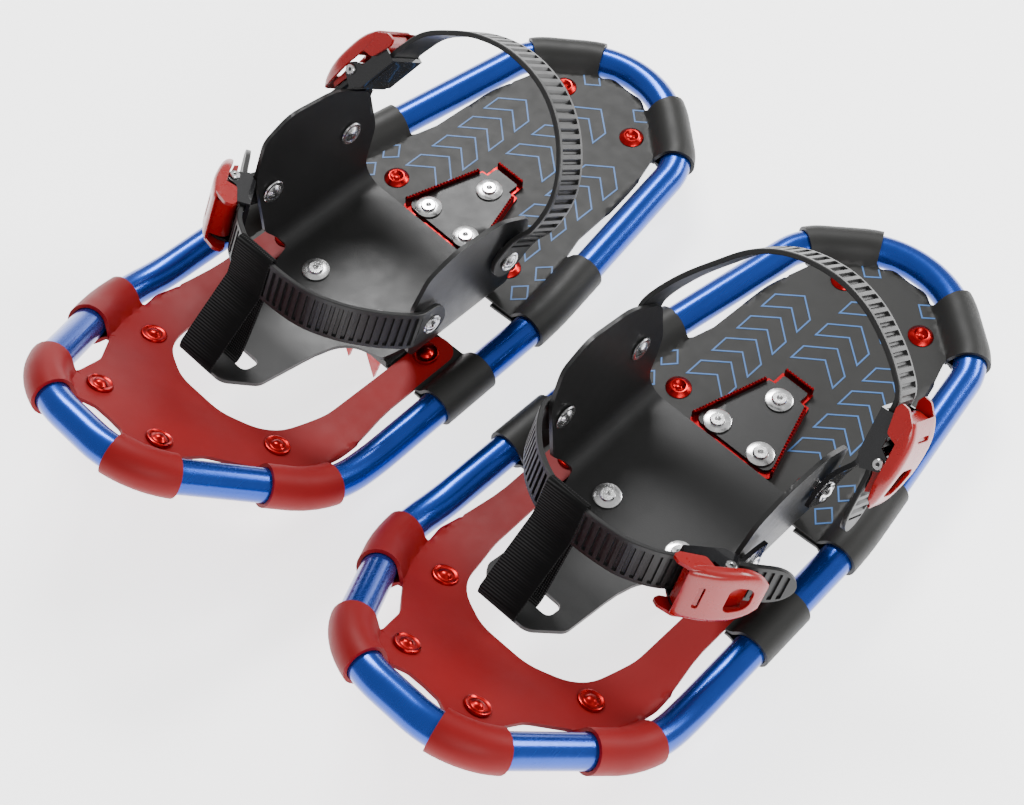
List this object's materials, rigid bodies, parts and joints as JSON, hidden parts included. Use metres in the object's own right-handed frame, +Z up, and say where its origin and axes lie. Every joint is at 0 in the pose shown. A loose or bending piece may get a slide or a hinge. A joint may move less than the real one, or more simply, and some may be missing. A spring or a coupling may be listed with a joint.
{
  "type": "snowshoes (pair)",
  "caption": "Pair of youth snowshoes: blue tube frames, black and red decks, crampons and pivoting two-strap ratchet bindings.",
  "frame": {"origin": "bottom centre of the pair's bounding box, on the ground under the crampon teeth", "axes": "+Z up, -Y towards the toes, +X towards the wearer's left"},
  "size_m": [0.418, 0.46, 0.1661],
  "materials": {
    "blue_tube": "satin blue anodised",
    "black_deck": "matt, fine grained coated fabric",
    "red_deck": "matt, fine grained coated fabric",
    "black_strap": "matt coated fabric",
    "black_plastic": "satin moulded polyurethane",
    "red_plastic": "glossy",
    "webbing": "woven nylon webbing",
    "silver_steel": "bright",
    "black_steel": "glossy black",
    "red_steel": "satin red"
  },
  "bodies": {
    "right_frame": {"right_frame_tube": "blue_tube", "right_rear_deck": "black_deck", "right_front_deck": "red_deck", "right_pivot_wrap_left": "black_strap", "right_pivot_wrap_right": "black_strap", "right_heel_plate": "red_steel", "right_heel_pad": "black_plastic", "right_heel_crampon": "red_steel", "right_heel_rivet_1": "silver_steel", "right_heel_rivet_2": "silver_steel", "right_heel_rivet_3": "silver_steel"},
    "right_binding": {"right_binding_base": "black_plastic", "right_pivot_band": "black_strap", "right_toe_crampon": "red_steel", "right_base_rivet_1": "silver_steel", "right_base_rivet_2": "silver_steel", "right_tongue_webbing": "webbing", "right_toe_rivet_outer": "silver_steel", "right_toe_rivet_inner": "silver_steel", "right_heel_rivet_outer": "silver_steel", "right_heel_rivet_inner": "silver_steel"},
    "right_toe_loop": {"right_toe_strap": "black_plastic", "right_toe_strap_webbing": "webbing", "right_toe_buckle": "black_steel"},
    "right_toe_lever_body": {"right_toe_lever": "red_plastic"},
    "right_toe_release_body": {"right_toe_release": "red_plastic"},
    "right_heel_loop": {"right_heel_strap": "black_plastic", "right_heel_buckle": "black_steel"},
    "right_heel_lever_body": {"right_heel_lever": "red_plastic"},
    "right_heel_release_body": {"right_heel_release": "red_plastic"},
    "left_frame": {"left_frame_tube": "blue_tube", "left_rear_deck": "black_deck", "left_front_deck": "red_deck", "left_pivot_wrap_left": "black_strap", "left_pivot_wrap_right": "black_strap", "left_heel_plate": "red_steel", "left_heel_pad": "black_plastic", "left_heel_crampon": "red_steel", "left_heel_rivet_1": "silver_steel", "left_heel_rivet_2": "silver_steel", "left_heel_rivet_3": "silver_steel"},
    "left_binding": {"left_binding_base": "black_plastic", "left_pivot_band": "black_strap", "left_toe_crampon": "red_steel", "left_base_rivet_1": "silver_steel", "left_base_rivet_2": "silver_steel", "left_tongue_webbing": "webbing", "left_toe_rivet_outer": "silver_steel", "left_toe_rivet_inner": "silver_steel", "left_heel_rivet_outer": "silver_steel", "left_heel_rivet_inner": "silver_steel"},
    "left_toe_loop": {"left_toe_strap": "black_plastic", "left_toe_strap_webbing": "webbing", "left_toe_buckle": "black_steel"},
    "left_toe_lever_body": {"left_toe_lever": "red_plastic"},
    "left_toe_release_body": {"left_toe_release": "red_plastic"},
    "left_heel_loop": {"left_heel_strap": "black_plastic", "left_heel_buckle": "black_steel"},
    "left_heel_lever_body": {"left_heel_lever": "red_plastic"},
    "left_heel_release_body": {"left_heel_release": "red_plastic"}
  },
  "joints": [
    {"name": "right_binding_pivot", "type": "hinge", "parent": "right_frame", "child": "right_binding", "pos_m": [-0.11051, -0.03398, 0.032], "axis": [1, 0, 0], "range_deg": [0, 25], "stiffness_Nm_per_rad": 0.4},
    {"name": "right_toe_loop_swing", "type": "hinge", "parent": "right_binding", "child": "right_toe_loop", "pos_m": [-0.11051, -0.03698, 0.078], "axis": [1, 0, 0], "range_deg": [-4, 3]},
    {"name": "right_heel_loop_swing", "type": "hinge", "parent": "right_binding", "child": "right_heel_loop", "pos_m": [-0.11051, 0.02302, 0.08], "axis": [1, 0, 0], "range_deg": [-35, 0]},
    {"name": "right_toe_lever_hinge", "type": "hinge", "parent": "right_toe_loop", "child": "right_toe_lever_body", "pos_m": [-0.16681, -0.07518, 0.09343], "axis": [0, 0.3746, 0.9272], "range_deg": [0, 75]},
    {"name": "right_toe_release_hinge", "type": "hinge", "parent": "right_toe_loop", "child": "right_toe_release_body", "pos_m": [-0.17817, -0.06223, 0.0882], "axis": [0, 0.3746, 0.9272], "range_deg": [0, 8], "stiffness_Nm_per_rad": 0.02},
    {"name": "right_heel_lever_hinge", "type": "hinge", "parent": "right_heel_loop", "child": "right_heel_lever_body", "pos_m": [-0.17213, 0.0578, 0.12389], "axis": [0, 0.7837, -0.6211], "range_deg": [0, 90]},
    {"name": "right_heel_release_hinge", "type": "hinge", "parent": "right_heel_loop", "child": "right_heel_release_body", "pos_m": [-0.18118, 0.04548, 0.10834], "axis": [0, 0.7837, -0.6211], "range_deg": [0, 8], "stiffness_Nm_per_rad": 0.02},
    {"name": "left_binding_pivot", "type": "hinge", "parent": "left_frame", "child": "left_binding", "pos_m": [0.11012, -0.02376, 0.032], "axis": [0.9998, 0.0216, 0], "range_deg": [0, 25], "stiffness_Nm_per_rad": 0.4},
    {"name": "left_toe_loop_swing", "type": "hinge", "parent": "left_binding", "child": "left_toe_loop", "pos_m": [0.11018, -0.02676, 0.078], "axis": [0.9998, 0.0216, 0], "range_deg": [-4, 3]},
    {"name": "left_heel_loop_swing", "type": "hinge", "parent": "left_binding", "child": "left_heel_loop", "pos_m": [0.10888, 0.03322, 0.08], "axis": [0.9998, 0.0216, 0], "range_deg": [-35, 0]},
    {"name": "left_toe_lever_hinge", "type": "hinge", "parent": "left_toe_loop", "child": "left_toe_lever_body", "pos_m": [0.1673, -0.06373, 0.09343], "axis": [0.0081, -0.3745, -0.9272], "range_deg": [0, 75]},
    {"name": "left_toe_release_hinge", "type": "hinge", "parent": "left_toe_loop", "child": "left_toe_release_body", "pos_m": [0.17837, -0.05054, 0.0882], "axis": [0.0081, -0.3745, -0.9272], "range_deg": [0, 8], "stiffness_Nm_per_rad": 0.02},
    {"name": "left_heel_lever_hinge", "type": "hinge", "parent": "left_heel_loop", "child": "left_heel_lever_body", "pos_m": [0.19269, 0.06983, 0.12389], "axis": [0.017, -0.7835, 0.6211], "range_deg": [0, 90]},
    {"name": "left_heel_release_hinge", "type": "hinge", "parent": "left_heel_loop", "child": "left_heel_release_body", "pos_m": [0.19496, 0.05639, 0.10687], "axis": [0.017, -0.7835, 0.6211], "range_deg": [0, 8], "stiffness_Nm_per_rad": 0.02},
    {"name": "left_shoe_lift", "type": "slide", "parent": "right_frame", "child": "left_frame", "axis": [0, 0, 1], "range_m": [0, 0.3]}
  ]
}
